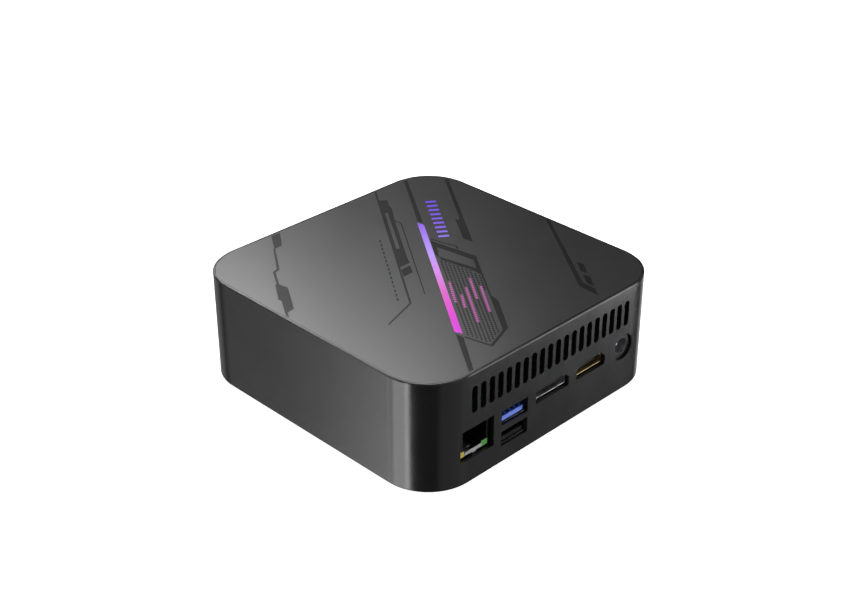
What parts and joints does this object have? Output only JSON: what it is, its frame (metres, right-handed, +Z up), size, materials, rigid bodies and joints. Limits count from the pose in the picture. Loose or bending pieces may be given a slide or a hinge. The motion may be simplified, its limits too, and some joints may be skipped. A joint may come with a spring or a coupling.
{
  "type": "mini pc",
  "caption": "Small square desktop computer with rounded corners, flush lit top panel, rear vents and ports, and a sprung front power button.",
  "frame": {"origin": "under the middle of the case, on the plane of the rubber feet's undersides", "axes": "+Z up, +Y towards the rear ports, -Y the front with the power button, +X to the right seen from the front"},
  "size_m": [0.128, 0.128, 0.0466],
  "materials": {
    "case_plastic": "fine satin grain",
    "cover_plastic": "satin",
    "panel": "satin",
    "inlay": "satin print",
    "bar_lens": "lit, lilac to pink",
    "marks_lens": "lit, violet to lilac",
    "dots_lens": "lit, pink",
    "light_guide": "clear, frosted",
    "circuit_board": "solder resist",
    "chip": "moulded epoxy",
    "led": "moulded",
    "ribbon": "flat cable",
    "silicon": "polished",
    "copper": "bare copper",
    "aluminium_fins": "mill",
    "brass": "turned",
    "screw_steel": "nickel plated",
    "black_screw": "black zinc",
    "rubber": "matt",
    "fan_plastic": "glass filled",
    "fan_lid": "stamped",
    "cable": "jacket",
    "socket_plastic": "moulded",
    "antenna_film": "laminate",
    "cell": "nickel plated",
    "choke": "pressed ferrite",
    "can": "can",
    "port_steel": "tin plated",
    "pin": "nickel plated",
    "blue_plastic": "moulded",
    "contact_gold": "gold plated",
    "lamp": "tinted",
    "button_plastic": "satin",
    "clear_pipe": "clear"
  },
  "bodies": {
    "chassis": {"housing": "case_plastic", "bottom_cover": "cover_plastic", "mount_inserts": "brass", "cover_screws": "black_screw", "rubber_feet": "rubber", "top_panel": "panel", "top_inlay": "inlay", "light_bar_lens": "bar_lens", "light_marks_lens": "marks_lens", "light_dots_lens": "dots_lens", "light_guide": "light_guide", "light_board": "circuit_board", "light_leds": "led", "light_cable": "ribbon", "mid_frame": "cover_plastic", "board_screws": "screw_steel", "board_pillars": "brass", "main_board": "circuit_board", "cpu_package": "circuit_board", "cpu_die": "silicon", "cold_plate": "copper", "heat_pipes": "copper", "heatsink_fins": "aluminium_fins", "cooler_screws": "screw_steel", "fan_case": "fan_plastic", "fan_cover": "fan_lid", "fan_bearing": "brass", "fan_stator": "copper", "fan_cable": "cable", "card_sockets": "socket_plastic", "memory_modules": "circuit_board", "memory_chips": "chip", "ssd_card": "circuit_board", "wifi_card": "circuit_board", "card_screws": "screw_steel", "antennas": "antenna_film", "antenna_leads": "cable", "coin_cell": "cell", "power_inductors": "choke", "capacitors": "can", "board_chips": "chip", "dc_jack": "socket_plastic", "dc_jack_pin": "pin", "hdmi_shell": "port_steel", "displayport_shell": "port_steel", "usb_rear_shell": "port_steel", "front_port_shells": "port_steel", "blue_tongues": "blue_plastic", "port_tongues": "socket_plastic", "port_contacts": "contact_gold", "ethernet_jack": "socket_plastic", "ethernet_shield": "port_steel", "ethernet_lamps": "lamp", "audio_jack": "socket_plastic", "power_switch": "socket_plastic", "power_light": "clear_pipe"},
    "power_button": {"power_button": "button_plastic", "switch_plunger": "button_plastic"},
    "fan_rotor": {"fan_rotor": "fan_plastic", "fan_shaft": "screw_steel"}
  },
  "joints": [
    {"name": "power_button_press", "type": "slide", "parent": "chassis", "child": "power_button", "axis": [0, 1, 0], "range_m": [0, 0.0006], "stiffness_N_per_m": 1500, "springref_m": -0.0004},
    {"name": "fan_spin", "type": "hinge", "parent": "chassis", "child": "fan_rotor", "pos_m": [0, 0.012, 0.0375], "axis": [0, 0, 1], "continuous": true}
  ]
}
